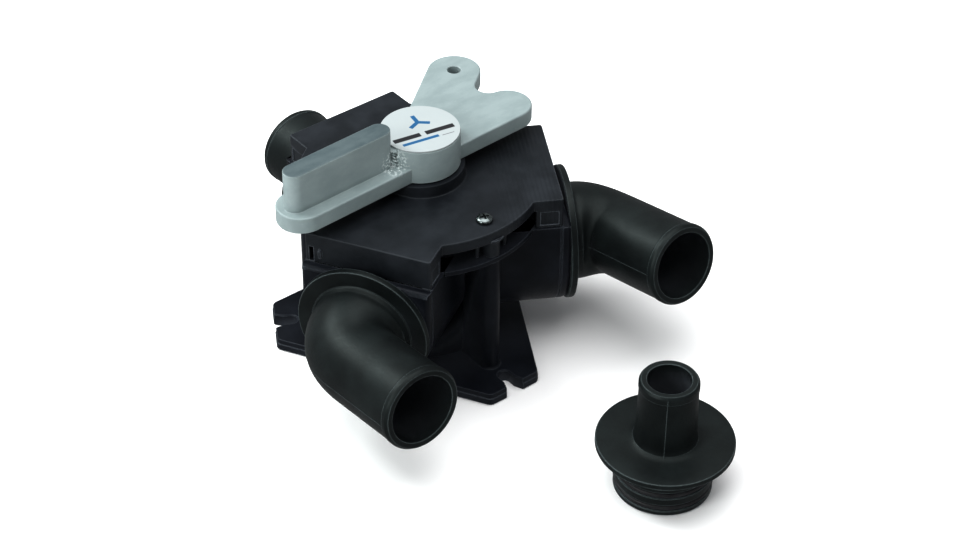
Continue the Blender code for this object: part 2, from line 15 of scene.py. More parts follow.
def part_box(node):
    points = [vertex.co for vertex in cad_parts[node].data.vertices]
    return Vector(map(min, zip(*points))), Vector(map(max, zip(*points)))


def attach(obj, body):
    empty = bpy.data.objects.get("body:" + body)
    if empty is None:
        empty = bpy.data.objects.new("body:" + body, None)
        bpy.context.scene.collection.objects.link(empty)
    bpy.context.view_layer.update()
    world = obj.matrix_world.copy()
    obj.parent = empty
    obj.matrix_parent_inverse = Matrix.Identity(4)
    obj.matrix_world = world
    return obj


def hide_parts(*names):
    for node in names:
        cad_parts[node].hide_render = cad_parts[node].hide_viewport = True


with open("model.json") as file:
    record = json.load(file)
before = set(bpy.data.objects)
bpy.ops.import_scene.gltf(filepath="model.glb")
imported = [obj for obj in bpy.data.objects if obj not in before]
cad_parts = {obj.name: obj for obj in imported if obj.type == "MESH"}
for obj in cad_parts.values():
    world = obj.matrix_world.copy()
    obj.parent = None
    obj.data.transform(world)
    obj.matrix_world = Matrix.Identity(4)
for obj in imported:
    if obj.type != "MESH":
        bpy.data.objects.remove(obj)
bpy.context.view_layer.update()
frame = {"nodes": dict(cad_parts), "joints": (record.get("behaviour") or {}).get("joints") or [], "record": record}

MM = 0.001
JOINTS = {joint["name"]: joint for joint in frame["joints"]}
MOUNTS = {mount["name"]: mount for mount in frame["record"]["mounts"]}


def millimetres(node):
    """Lowest and highest corner of a CAD node, in millimetres."""
    low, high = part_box(node)
    return low / MM, high / MM


def heading_of(direction):
    """The direction's angle about +Z, in degrees."""
    return math.degrees(math.atan2(direction[1], direction[0]))


# Places taken from the frame
BODY_LOW, BODY_HIGH = millimetres("valve_body")
COVER_HIGH = millimetres("top_cover")[1]
HANDLE_LOW, HANDLE_HIGH = millimetres("handle")
REDUCER_LOW, REDUCER_HIGH = millimetres("reducer")
LABEL_LOW, LABEL_HIGH = millimetres("hub_label")
SCREW_HIGH = millimetres("cover_screw_1")[1].z
FITTINGS = {"a": "elbow_a", "b": "elbow_b", "c": "straight_tail"}
PORTS = {port: heading_of(JOINTS[f"{fitting}_swivel"]["axis"]) for port, fitting in FITTINGS.items()}
PORT_HEIGHT = JOINTS["elbow_a_swivel"]["pos_m"][2] / MM
CORNERS = {1: 30.0, 2: 150.0, 3: 270.0}    # feet, columns and screws, between the ports
BODY_TOP = BODY_HIGH.z
NECK_TOP = COVER_HIGH.z

# Base and body
CIRCLE_SIDES = 120
BASE_THICK = 6.1
BASE_LIP = 0.35               # how far the base's side steps in above the ledge
BASE_CORNER = 3.6
BASE_EDGE = 46.2
FOOT_REACH = 68.8
FOOT_LEDGE = 3.4              # height where the base's side steps in a little
SLOT_WIDTH = 6.0
SLOT_MOUTH = 10.4
SLOT_CENTRE = 61.0
SLOT_NECK = 64.5
ARM_HALF = 30.2
ARM_START = 20.0
ARM_END = 63.7
ARM_END_ROUND = 2.2
ARM_GROOVE = 58.8             # shallow groove round each arm
GROOVE_DEPTH = 0.45
CORE_RADIUS = 36.0
RIM_RADIUS = 54.6
RIM_THICK = 2.6
RIB_START = 30.0              # columns and their fillets start inside the core
RIB_FOOT = 2.0
COLUMN_REACH = 50.4
COLUMN_HALF = 4.15
CHAMBER_RADIUS = 32.0
CHAMBER_FLOOR = 14.0
CHAMBER_CUT_TOP = 80.0
SOCKET_RADIUS = 21.8
SOCKET_FLOOR = 40.8
PORT_HOLE = 15.6
PORT_HOLE_SPAN = (30.0, 50.0)
SEAL_POCKET_RADIUS = 20.3
SEAL_POCKET_FLOOR = 37.0
CLIP_SLIT = ((56.85, -25.3, 29.7), (59.05, 25.3, 75.0))    # where a port clip slides in

# Cover
COVER_TOP = 83.8
COVER_PLATE = 5.5
COVER_HALF = 29.4
COVER_END = 59.8
COVER_ARC = 54.9
COVER_EASE = 0.55
COVER_CORNER = 1.2
SKIRT_WALL = 2.5
SKIRT_GAP = 0.35
SKIRT_OVERLAP = 1.0
RING_OUTER = 40.0
RING_INNER = 33.5
RING_GAP = 1.8
PIN_CIRCLE = 50.6             # two small pins stand beside each screw boss
PIN_DEGREES = 8.6
NUB_PLACE = (-22.3, 74.0)     # small oval nub on each skirt, as (across, height)
NUB_HALF = (0.95, 2.6)
NECK_RADIUS = 20.0
SPINDLE_BORE = 9.35
HOLE_SPAN = (60.0, 95.0)

# Screws: profile as (height above the head's seat, radius)
SCREW_CIRCLE = 45.7
SCREW_HOLE = 2.3
PILOT_SPAN = (50.0, 75.0)
HEAD_HEIGHT = 2.0
SCREW_PROFILE = ((-26.0, 1.0), (-24.0, 1.95), (0.0, 1.95), (0.0, 3.55), (0.15, 3.7), (0.9, 3.7),
                 (1.3, 3.45), (1.7, 2.8), (1.95, 1.8), (2.0, 0.8))
RECESS_LONG = 2.0
RECESS_HALF = 0.42
RECESS_FLOOR = 0.6
SCREW_TURN = 23.0             # each screw was left at another angle

# Plugs, elbows and reducer
PLUG_START = 41.2
PLUG_RADIUS = 21.4
PLUG_LENGTH = 22.8
GROOVE_RADIUS = 19.0
GROOVES = ((3.0, 3.0), (10.0, 3.0), (15.5, 2.5))   # start from the plug's end, and width
BORE = 15.4
FLANGE_RADIUS = 30.65
FLANGE_THICK = 3.5
ELBOW_CORNER = 84.2
ELBOW_LEG = 54.8
ELBOW_BEND = 60.0
BEND_RADIUS = 23.0
COLLAR_RADIUS = 22.75
COLLAR_ROWS = ((0.0, 0.9), (0.3, 0.4), (0.9, 0.05), (1.6, -0.1), (2.0, -0.3), (2.6, -0.42))
BEND_START_RADIUS = 22.3
TAIL_RADIUS = 19.0
STRAIGHT_END = 99.5           # spindle axis to the straight tail's end
STRAIGHT_FOOT = ((0.0, 1.4), (0.4, 0.6), (1.1, 0.1), (2.0, 0.0))
SLIM_RADIUS = TAIL_RADIUS - 0.35    # the tail behind its end band is a little slimmer
BAND = 3.6
SEAM_HEIGHT = 0.14
SEAM_DEGREES = 1.1
MOULDING_CREASE = 28.0        # sharpest turn that is still shaded smooth, in degrees
REDUCER_FLANGE_RADIUS = 30.0
REDUCER_FLANGE_THICK = 2.9
REDUCER_TAIL_RADIUS = 12.6
REDUCER_BORE = 9.4
REDUCER_TAPER = (12.0, 26.0)  # the bore narrows between these heights
REDUCER_SEAM = 225.0          # direction of the reducer's seam on the near side
REDUCER_FOOT = ((0.1, 25.5), (0.2, 20.0), (0.35, 16.8), (0.8, 15.0), (1.6, 14.0), (2.8, 13.5),
                (4.4, 13.3), (8.0, 13.1))                  # height above the flange, radius
REDUCER_END = ((6.0, 0.1), (4.4, 0.05), (4.1, 0.12), (3.8, 0.35), (1.4, 0.3), (1.1, 0.2),
               (0.2, -0.4), (0.0, -0.7))                   # depth below the top, extra radius
ORING_RADIUS = 20.35
ORING_SECTION = 1.15

# Handle
HANDLE_HEADING = 182.5
HUB_RADIUS = 18.0
HUB_TOP = LABEL_LOW.z - 0.3
BAR_BOTTOM = HANDLE_LOW.z
BAR_TOP = BAR_BOTTOM + 8.0
BAR_HALF = 11.2
GRIP_REACH = 66.2
TAIL_REACH = 51.5
LOBE_REACH = 63.0
LOBE_HALF = 12.3
LOBE_ANGLE = -144.3
NOTCH_FILLET = 6.0
LOBE_HOLE = 3.1
DRIVE_HALF = 5.8              # square socket on the spindle, under the screw's counterbore
DRIVE_TOP = 101.3
SHANK_RADIUS = 2.8
SINK_RADIUS = 6.2
SINK_FLOOR = 102.6
FIN_TOP = HANDLE_HIGH.z
FIN_HALF = 5.0
FIN_START = 23.1
FIN_END = 69.2
WEB_ROWS = 18                 # rough web of plastic between fin and hub
WEB_POINTS = 40
WEB_CENTRE = 18.0
WEB_SIZE = (2.4, 5.6)
WEB_LUMPS = ((0.30, 5, 1.9), (0.26, 9, -2.7), (0.20, 14, 4.3))    # size, waves, twist per row

# Label print: bars as (middle, height, half length, half height, colour), and the flow sign
LABEL_BARS = ((-8.4, -4.2, 6.6, 1.45, "ink"), (7.6, -4.2, 7.0, 1.45, "ink"),
              (-3.7, -8.4, 8.8, 0.95, "blue"), (9.4, -9.0, 3.0, 0.3, "grey"))
LABEL_SIGN = (1.2, 4.8)
LABEL_ARM = 5.0
LABEL_ARM_HALF = 0.9
PRINT_EDGE = 0.15             # how soft the printed edges are
LABEL_TURN = 10.7
LABEL_RADIUS = 17.75

# Stage: lights as (name, place, side, watts, colour), in metres
FLOOR_REACH = 6000.0
LIGHT_AIM = (0.0, -0.02, 0.05)
LIGHTS = (("overhead", (0.0, 0.0, 1.7), 1.9, 39.0, (1.0, 1.0, 1.0)),
          ("back_box", (-0.50, 0.80, 0.95), 0.45, 12.0, (0.96, 1.0, 0.99)),
          ("left_box", (-1.10, -0.12, 0.60), 0.5, 8.0, (0.97, 1.0, 0.99)))
WORLD_COLOUR = (0.97, 0.985, 1.0, 1.0)
WORLD_STRENGTH = 0.46
CAMERA_PLACE = (-0.51890, -0.68707, 0.70294)
CAMERA_RIGHT = (0.78005, -0.62566, 0.00879)
CAMERA_UP = (0.38156, 0.48676, 0.78580)
CAMERA_LENS = 87.5
VIEW_GAMMA = 0.8


# ---------------------------------------------------------------- shapes

def turn_about_z(degrees):
    return Matrix.Rotation(math.radians(degrees), 4, "Z")


def turn_about_x(degrees):
    return Matrix.Rotation(math.radians(degrees), 4, "X")


def shift(x, y, z):
    return Matrix.Translation(Vector((x, y, z)) * MM)


def polar(degrees, radius):
    """X and Y at an angle and a radius."""
    angle = math.radians(degrees)
    return radius * math.cos(angle), radius * math.sin(angle)


def arc(centre, radius, start, end, steps):
    """Points on an arc, both ends included, angles in degrees."""
    points = []
    for step in range(steps + 1):
        x, y = polar(start + (end - start) * step / steps, radius)
        points.append((centre[0] + x, centre[1] + y))
    return points


def place(name, mesh, matrix=None):
    """An object whose mesh is already in the row frame."""
    mesh = mesh.copy()
    if matrix is not None:
        mesh.transform(matrix)
    mesh.name = name
    thing = bpy.data.objects.new(name, mesh)
    bpy.context.scene.collection.objects.link(thing)
    return thing


def mesh_from(points, faces):
    """A mesh in metres from points in millimetres and the faces between them."""
    shape = bmesh.new()
    corners = [shape.verts.new(Vector(point) * MM) for point in points]
    for face in faces:
        shape.faces.new([corners[index] for index in face])
    bmesh.ops.recalc_face_normals(shape, faces=shape.faces)
    mesh = bpy.data.meshes.new("piece")
    shape.to_mesh(mesh)
    shape.free()
    return mesh


def skin(rings, closed):
    """Joins rings of points; closed joins the last ring to the first, or else the ends are capped."""
    count = len(rings[0])
    points = [point for ring in rings for point in ring]
    faces = []
    if not closed:
        faces = [tuple(range(count)), tuple(range((len(rings) - 1) * count, len(rings) * count))]
    for row in range(len(rings) if closed else len(rings) - 1):
        after = (row + 1) % len(rings)
        for step in range(count):
            other = (step + 1) % count
            near = (row * count + step, row * count + other)
            faces.append((*near, after * count + other, after * count + step))
    return mesh_from(points, faces)


def ring_angles(count, seams=()):
    """Even angles round a circle in degrees, with three close together at each seam."""
    angles = [360.0 * step / count for step in range(count)]
    for seam in seams:
        near = 360.0 / count * 0.6
        angles = [a for a in angles if abs((a - seam + 180) % 360 - 180) > near]
        angles += [seam - SEAM_DEGREES, seam, seam + SEAM_DEGREES]
    return sorted(angle % 360 for angle in angles)


def ring_points(centre, along, radius, angles, seams=(), ridge=0.0):
    """A circle of points around a direction, raised by ridge where a seam runs."""
    along = Vector(along).normalized()
    side = Vector((0, 0, 1)).cross(along)
    if side.length < 0.01:
        side = Vector((1, 0, 0))
    side.normalize()
    up = along.cross(side)
    points = []
    for degrees in angles:
        on_seam = any(abs((degrees - seam + 180) % 360 - 180) < 0.01 for seam in seams)
        reach = radius + (ridge if on_seam else 0.0)
        x, y = polar(degrees, reach)
        points.append(Vector(centre) + x * side + y * up)
    return points


def turned(profile, count, axis=(0, 0, 1), closed=False, seams=(), seam_rows=()):
    """A turned piece from (distance along the axis, radius) pairs."""
    axis = Vector(axis)
    angles = ring_angles(count, seams)
    rings = []
    for row, (along, radius) in enumerate(profile):
        ridge = SEAM_HEIGHT if row in seam_rows else 0.0
        rings.append(ring_points(axis * along, axis, radius, angles, seams, ridge))
    return skin(rings, closed)


def inset(outline, distance):
    """The outline moved inward; it runs anticlockwise."""
    moved = []
    count = len(outline)
    for index in range(count):
        before = Vector(outline[index - 1])
        here = Vector(outline[index])
        after = Vector(outline[(index + 1) % count])
        first = (here - before).normalized()
        second = (after - here).normalized()
        normals = Vector((-first.y, first.x)), Vector((-second.y, second.x))
        middle = (normals[0] + normals[1]) / 2
        moved.append(tuple(here + middle * (distance / max(middle.length_squared, 0.3))))
    return moved


def soften(outline, radius, steps=4, limit=18.0):
    """Rounds the outline's corners, and leaves its arcs as they are."""
    points = []
    count = len(outline)
    for index in range(count):
        before = Vector(outline[index - 1])
        here = Vector(outline[index])
        after = Vector(outline[(index + 1) % count])
        back = before - here
        ahead = after - here
        turn = math.degrees(math.pi - back.angle(ahead))
        if turn < limit:
            points.append(tuple(here))
            continue
        half = back.angle(ahead) / 2
        run = min(radius / math.tan(half), back.length * 0.48, ahead.length * 0.48)
        start = here + back.normalized() * run
        end = here + ahead.normalized() * run
        for step in range(steps + 1):
            share = step / steps
            low = start.lerp(here, share)
            high = here.lerp(end, share)
            points.append(tuple(low.lerp(high, share)))
    return points


def eased(low, high, ease, steps=3):
    """Stations from low to high whose two edges are rounded by ease."""
    stations = []
    for step in range(steps + 1):
        angle = math.radians(90 - 90 * step / steps)
        stations.append((low + ease * (1 - math.sin(angle)), ease * (1 - math.cos(angle))))
    for step in range(steps + 1):
        angle = math.radians(90 * step / steps)
        stations.append((high - ease * (1 - math.sin(angle)), ease * (1 - math.cos(angle))))
    return stations


def loft(outline, stations):
    """An outline in X and Y carried up Z through (height, inset) stations."""
    rings = []
    for level, distance in stations:
        rings.append([(x, y, level) for x, y in inset(outline, distance)])
    return skin(rings, False)


def loft_along_x(outline, stations):
    """An outline in Y and Z carried along X through (place, inset) stations."""
    rings = []
    for level, distance in stations:
        rings.append([(level, y, z) for y, z in inset(outline, distance)])
    return skin(rings, False)


def block(low, high, ease=0.0):
    """A rectangular block between two corners, its upright edges and rims eased."""
    outline = [(low[0], low[1]), (high[0], low[1]), (high[0], high[1]), (low[0], high[1])]
    if ease:
        return loft(soften(outline, ease), eased(low[2], high[2], ease))
    return loft(outline, [(low[2], 0), (high[2], 0)])


def combine(target, operation, tools):
    """Joins the tools to the target or cuts them away, and bakes the result into its mesh."""
    for tool in tools:
        step = target.modifiers.new(operation.lower(), "BOOLEAN")
        step.operation = operation
        step.solver = "EXACT"
        step.object = tool
    bpy.context.view_layer.update()
    graph = bpy.context.evaluated_depsgraph_get()
    mesh = bpy.data.meshes.new_from_object(target.evaluated_get(graph))
    target.modifiers.clear()
    target.data = mesh
    for tool in tools:
        bpy.data.objects.remove(tool)


def join(target, tools):
    """Adds the tools to the target."""
    combine(target, "UNION", tools)


def cut(target, tools):
    """Takes the tools' shapes out of the target."""
    combine(target, "DIFFERENCE", tools)


def around(angles, mesh, extra=None):
    """One copy of a mesh at each angle about the spindle axis."""
    extra = extra or Matrix.Identity(4)
    return [place("tool", mesh, turn_about_z(angle) @ extra) for angle in angles]


def finish_piece(thing, look, body, nodes, crease=32.0):
    """Smooth shading, a material, a body to ride on and the CAD nodes that it stands for."""
    shape = bmesh.new()
    shape.from_mesh(thing.data)
    bmesh.ops.remove_doubles(shape, verts=shape.verts, dist=0.002 * MM)
    bmesh.ops.dissolve_degenerate(shape, edges=shape.edges, dist=0.001 * MM)
    shape.to_mesh(thing.data)
    shape.free()
    mesh = thing.data
    mesh.materials.clear()
    mesh.materials.append(look)
    mesh.shade_smooth()
    mesh.set_sharp_from_angle(angle=math.radians(crease))
    weigh = thing.modifiers.new("weigh", "WEIGHTED_NORMAL")
    weigh.keep_sharp = True
    weigh.weight = 80
    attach(thing, body)
    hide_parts(*nodes)


# ---------------------------------------------------------------- materials

class Look:
    """A Principled material built from a few node helpers."""

    def __init__(self, name):
        self.material = bpy.data.materials.new(name)
        self.material.use_nodes = True
        self.nodes = self.material.node_tree.nodes
        self.links = self.material.node_tree.links
        self.shader = self.nodes["Principled BSDF"]
        self.where = self.add("ShaderNodeTexCoord").outputs["Object"]

    def add(self, kind, **settings):
        node = self.nodes.new(kind)
        for key, value in settings.items():
            setattr(node, key, value)
        return node

    def feed(self, socket, value):
        """Links an output to a socket, or sets a plain value on it."""
        if isinstance(value, bpy.types.NodeSocket):
            self.links.new(value, socket)
        else:
            socket.default_value = value

    def stretch(self, scale):
        """The piece's own coordinates, scaled by a different amount along each axis."""
        node = self.add("ShaderNodeMapping")
        self.feed(node.inputs["Vector"], self.where)
        node.inputs["Scale"].default_value = scale
        return node.outputs["Vector"]

    def noise(self, scale, detail=4.0, roughness=0.55, place=None):
        node = self.add("ShaderNodeTexNoise")
        self.feed(node.inputs["Vector"], place or self.where)
        node.inputs["Scale"].default_value = scale
        node.inputs["Detail"].default_value = detail
        node.inputs["Roughness"].default_value = roughness
        return node.outputs["Fac"]

    def remap(self, value, low, high, to_low=0.0, to_high=1.0):
        node = self.add("ShaderNodeMapRange", interpolation_type="SMOOTHSTEP")
        self.feed(node.inputs["Value"], value)
        node.inputs["From Min"].default_value = low
        node.inputs["From Max"].default_value = high
        node.inputs["To Min"].default_value = to_low
        node.inputs["To Max"].default_value = to_high
        return node.outputs["Result"]

    def calc(self, operation, first, second=0.0):
        node = self.add("ShaderNodeMath", operation=operation)
        self.feed(node.inputs[0], first)
        self.feed(node.inputs[1], second)
        return node.outputs["Value"]

    def times(self, first, second):
        return self.calc("MULTIPLY", first, second)

    def plus(self, first, second):
        return self.calc("ADD", first, second)

    def minus(self, first, second):
        return self.calc("SUBTRACT", first, second)

    def mix(self, share, first, second):
        """Blends two colours by a share from 0 to 1."""
        node = self.add("ShaderNodeMix", data_type="RGBA")
        self.feed(node.inputs["Factor"], share)
        self.feed(node.inputs["A"], as_colour(first))
        self.feed(node.inputs["B"], as_colour(second))
        return node.outputs["Result"]

    def edges(self, radius):
        """Near 1 on the narrow band beside an edge, and 0 on open faces."""
        bevel = self.add("ShaderNodeBevel", samples=4)
        bevel.inputs["Radius"].default_value = radius * MM
        face = self.add("ShaderNodeNewGeometry").outputs["Normal"]
        dot = self.add("ShaderNodeVectorMath", operation="DOT_PRODUCT")
        self.feed(dot.inputs[0], bevel.outputs["Normal"])
        self.feed(dot.inputs[1], face)
        return self.remap(dot.outputs["Value"], 0.995, 0.86)

    def recess(self, reach, start, full):
        """Near 1 in deep recesses and 0 on open faces."""
        shade = self.add("ShaderNodeAmbientOcclusion", samples=6)
        shade.inputs["Distance"].default_value = reach * MM
        return self.remap(shade.outputs["AO"], start, full)

    def bump(self, height, strength, distance, below=None):
        node = self.add("ShaderNodeBump")
        node.inputs["Strength"].default_value = strength
        node.inputs["Distance"].default_value = distance * MM
        self.feed(node.inputs["Height"], height)
        if below is not None:
            self.feed(node.inputs["Normal"], below)
        return node.outputs["Normal"]

    def set(self, **inputs):
        for name, value in inputs.items():
            self.feed(self.shader.inputs[name.replace("_", " ")], value)
        return self.material


def as_colour(value):
    """Adds alpha to a plain colour, and leaves node outputs as they are."""
    return (*value, 1.0) if isinstance(value, tuple) and len(value) == 3 else value


def moulded_plastic(name, deep, pale, edge_wear_and_highlight_colour, roughness, specular, tint, dust_and_painted_light, depth):
    """Black plastic: cloudy colour, uneven gloss, fine grain, paler edges that are partly rubbed wear and partly a
    painted edge highlight, and recesses painted paler as painted fill light.
    """
    look = Look(name)
    cloud = look.noise(55.0, 5.0, 0.6)
    speck = look.noise(900.0, 2.0, 0.6)
    base = look.mix(look.remap(cloud, 0.35, 0.7), deep, pale)
    # painted fill light: deep recesses are mixed towards a paler colour to lift their shade
    base = look.mix(look.recess(35.0, *depth), base, dust_and_painted_light)
    # edges painted paler: partly rubbed wear, partly a painted edge highlight
    wear_and_edge_highlight = look.times(look.edges(0.7), look.remap(speck, 0.2, 0.6, 0.5, 1.0))
    base = look.mix(wear_and_edge_highlight, base, edge_wear_and_highlight_colour)
    patch = look.noise(24.0, 4.0, 0.6)
    gloss = look.remap(patch, 0.3, 0.7, roughness - 0.07, roughness + 0.07)
    gloss = look.plus(gloss, look.remap(speck, 0.3, 0.7, -0.03, 0.04))
    fine = look.bump(look.noise(2600.0, 2.0, 0.5), 0.32, 0.03)
    wavy = look.bump(look.noise(90.0, 2.0, 0.5), 0.25, 0.05, fine)
    return look.set(Base_Color=base, Roughness=gloss, Normal=wavy,
                    Specular_IOR_Level=specular, Specular_Tint=as_colour(tint))


def cover_plastic(name):
    """The body's plastic with faint straight tool marks near port b on the top face."""
    look = Look(name)
    cloud = look.noise(60.0, 5.0, 0.62)
    speck = look.noise(900.0, 2.0, 0.6)
    base = look.mix(look.remap(cloud, 0.32, 0.7), (0.009, 0.011, 0.014), (0.018, 0.021, 0.026))
    gloss = look.remap(look.noise(30.0, 5.0, 0.65), 0.3, 0.7, 0.36, 0.52)
    turn = look.add("ShaderNodeMapping")
    look.feed(turn.inputs["Vector"], look.where)
    turn.inputs["Rotation"].default_value = (0.0, 0.0, math.radians(-PORTS["b"]))
    split = look.add("ShaderNodeSeparateXYZ")
    look.feed(split.inputs["Vector"], turn.outputs["Vector"])
    outward, across = split.outputs["X"], split.outputs["Y"]
    square = look.plus(look.times(outward, outward), look.times(across, across))
    off_neck = look.remap(look.calc("SQRT", square), 21.5 * MM, 24.0 * MM)
    # edges away from the neck painted paler: partly rubbed wear, partly a painted edge highlight
    wear_and_edge_highlight = look.times(look.edges(0.7), look.remap(speck, 0.2, 0.6, 0.5, 1.0))
    base = look.mix(look.times(wear_and_edge_highlight, off_neck), base, (0.125, 0.14, 0.16))
    lines = look.calc("SINE", look.times(outward, 2 * math.pi / (2.03 * MM)))
    zone = look.remap(outward, 28 * MM, 36 * MM)
    marks = look.bump(look.times(lines, zone), 0.55, 0.08)
    fine = look.bump(look.noise(2400.0, 2.0, 0.5), 0.35, 0.03, marks)
    wavy = look.bump(look.noise(70.0, 3.0, 0.5), 0.3, 0.06, fine)
    return look.set(Base_Color=base, Roughness=gloss, Normal=wavy,
                    Specular_IOR_Level=0.26, Specular_Tint=as_colour((0.9, 0.97, 1.0)))


def handle_plastic(name):
    """Light grey-green plastic with drawn flow marks, scuffs and a rough spot by the hub."""
    look = Look(name)
    flow = look.noise(1.0, 5.0, 0.6, look.stretch((60.0, 120.0, 90.0)))
    speck = look.noise(700.0, 3.0, 0.6)
    base = look.mix(look.remap(flow, 0.3, 0.72), (0.215, 0.262, 0.266), (0.262, 0.312, 0.316))
    base = look.mix(look.remap(speck, 0.62, 0.78, 0.0, 0.35), base, (0.32, 0.37, 0.37))
    split = look.add("ShaderNodeSeparateXYZ")
    look.feed(split.inputs["Vector"], look.where)
    crown = look.remap(split.outputs["Z"], (FIN_TOP - 0.3) * MM, (FIN_TOP - 0.05) * MM)
    crown = look.times(crown, look.remap(flow, 0.2, 0.7, 1.0, 0.8))
    base = look.mix(crown, base, (0.045, 0.068, 0.076))
    # edges painted paler: partly wear, partly a painted edge highlight
    base = look.mix(look.times(look.edges(0.8), 0.45), base, (0.36, 0.42, 0.42))
    gloss = look.remap(look.noise(40.0, 4.0, 0.6), 0.3, 0.7, 0.36, 0.56)
    spot = look.add("ShaderNodeVectorMath", operation="DISTANCE")
    look.feed(spot.inputs[0], look.where)
    x, y = polar(HANDLE_HEADING, 19.5)
    side_x, side_y = polar(HANDLE_HEADING + 90, 5.0)
    spot.inputs[1].default_value = Vector((x + side_x, y + side_y, BAR_TOP + 2.5)) * MM
    near = look.remap(spot.outputs["Value"], 8.5 * MM, 3.5 * MM)
    sparkle = look.times(look.remap(look.noise(800.0, 3.0, 0.7), 0.5, 0.6), near)
    base = look.mix(sparkle, base, (0.62, 0.68, 0.68))
    lumps = look.times(look.noise(620.0, 5.0, 0.7), near)
    rough_spot = look.bump(lumps, 0.5, 0.5)
    fine = look.bump(look.noise(1500.0, 3.0, 0.6), 0.3, 0.04, rough_spot)
    marks = look.bump(flow, 0.15, 0.1, fine)
    return look.set(Base_Color=base, Roughness=gloss, Normal=marks, Specular_IOR_Level=0.4)


def label_print(name):
    """White printed disc with a plain three-armed flow sign and plain bars."""
    look = Look(name)
    turn = look.add("ShaderNodeMapping")
    look.feed(turn.inputs["Vector"], look.where)
    turn.inputs["Rotation"].default_value = (0.0, 0.0, math.radians(LABEL_TURN))
    split = look.add("ShaderNodeSeparateXYZ")
    look.feed(split.inputs["Vector"], turn.outputs["Vector"])
    across, up = split.outputs["X"], split.outputs["Y"]
    blue, ink, grey = (0.014, 0.10, 0.22), (0.016, 0.016, 0.019), (0.14, 0.14, 0.15)
    base = look.mix(look.noise(80.0, 3.0), (0.35, 0.385, 0.395), (0.38, 0.41, 0.41))
    for middle, high, long_half, high_half, colour in LABEL_BARS:
        far = look.calc("ABSOLUTE", look.minus(across, middle * MM))
        rise = look.calc("ABSOLUTE", look.minus(up, high * MM))
        inside = look.times(look.remap(far, long_half * MM, (long_half - PRINT_EDGE) * MM),
                            look.remap(rise, high_half * MM, (high_half - PRINT_EDGE) * MM))
        base = look.mix(inside, base, {"ink": ink, "blue": blue, "grey": grey}[colour])
    from_x = look.minus(across, LABEL_SIGN[0] * MM)
    from_y = look.minus(up, LABEL_SIGN[1] * MM)
    for heading in (90, 210, 330):
        cosine, sine = polar(heading, 1.0)
        along = look.plus(look.times(from_x, cosine), look.times(from_y, sine))
        beside = look.minus(look.times(from_y, cosine), look.times(from_x, sine))
        off = look.calc("ABSOLUTE", look.minus(along, LABEL_ARM / 2 * MM))
        length = look.remap(off, (LABEL_ARM / 2 + 0.6) * MM, (LABEL_ARM / 2 + 0.4) * MM)
        width = look.remap(look.calc("ABSOLUTE", beside), (LABEL_ARM_HALF + PRINT_EDGE) * MM,
                           LABEL_ARM_HALF * MM)
        inside = look.times(length, width)
        base = look.mix(inside, base, blue)
    gloss = look.remap(look.noise(200.0, 3.0), 0.3, 0.7, 0.28, 0.38)
    return look.set(Base_Color=base, Roughness=gloss, Specular_IOR_Level=0.45,
                    Normal=look.bump(look.noise(850.0, 2.0), 0.1, 0.02))


def bright_steel(name):
    """Bright turned steel, slightly streaked."""
    look = Look(name)
    swirl = look.noise(1.0, 4.0, 0.6, look.stretch((900.0, 900.0, 120.0)))
    base = look.mix(look.remap(swirl, 0.3, 0.7), (0.10, 0.12, 0.12), (0.20, 0.225, 0.225))
    gloss = look.remap(swirl, 0.3, 0.7, 0.18, 0.34)
    return look.set(Base_Color=base, Roughness=gloss, Metallic=1.0,
                    Normal=look.bump(swirl, 0.15, 0.02))


def seal_rubber(name):
    """Dull black rubber with a trace of dust."""
    look = Look(name)
    dust_and_painted_light = look.noise(160.0, 5.0, 0.65)
    base = look.mix(look.remap(dust_and_painted_light, 0.35, 0.75), (0.010, 0.010, 0.012), (0.026, 0.027, 0.030))
    gloss = look.remap(dust_and_painted_light, 0.3, 0.7, 0.42, 0.6)
    return look.set(Base_Color=base, Roughness=gloss, Specular_IOR_Level=0.35,
                    Normal=look.bump(look.noise(1800.0, 2.0), 0.3, 0.03))


def bearing_plastic(name):
    """Off-white slippery plastic of the hidden turning parts."""
    look = Look(name)
    cloud = look.noise(50.0, 4.0, 0.6)
    base = look.mix(look.remap(cloud, 0.3, 0.7), (0.66, 0.655, 0.61), (0.76, 0.755, 0.72))
    gloss = look.remap(look.noise(70.0, 3.0), 0.3, 0.7, 0.34, 0.5)
    return look.set(Base_Color=base, Roughness=gloss,
                    Normal=look.bump(look.noise(1400.0, 2.0), 0.2, 0.03))


# ---------------------------------------------------------------- outlines

def base_outline():
    """The base seen from above: a triangle whose corners are cut off square."""
    half = (2 * BASE_EDGE - FOOT_REACH) / math.sqrt(3)
    points = []
    for heading in CORNERS.values():
        for side in (-half, half):
            x, y = polar(heading, FOOT_REACH)
            side_x, side_y = polar(heading + 90, side)
            points.append((x + side_x, y + side_y))
    return soften(points, BASE_CORNER, 6)


def cover_outline(steps=26):
    """The cover seen from above: three arms joined by arcs about the spindle."""
    reach = math.sqrt(COVER_ARC ** 2 - COVER_HALF ** 2)
    lead = math.degrees(math.atan2(COVER_HALF, reach))
    points = []
    for heading in sorted(angle % 360 for angle in PORTS.values()):
        for side in (-COVER_HALF, COVER_HALF):
            x, y = polar(heading, COVER_END)
            side_x, side_y = polar(heading + 90, side)
            points.append((x + side_x, y + side_y))
        points.extend(arc((0, 0), COVER_ARC, heading + lead, heading + 120 - lead, steps))
    return soften(points, COVER_CORNER, 4)


def slot_outline():
    """A foot's slot seen from above: round inside and flared at its mouth."""
    half = SLOT_WIDTH / 2
    mouth = SLOT_MOUTH / 2
    beyond = FOOT_REACH + 1.0
    inner = arc((SLOT_CENTRE, 0), half, 90, 270, 20)
    return [(beyond, mouth), (SLOT_NECK, half)] + inner + [(SLOT_NECK, -half), (beyond, -mouth)]


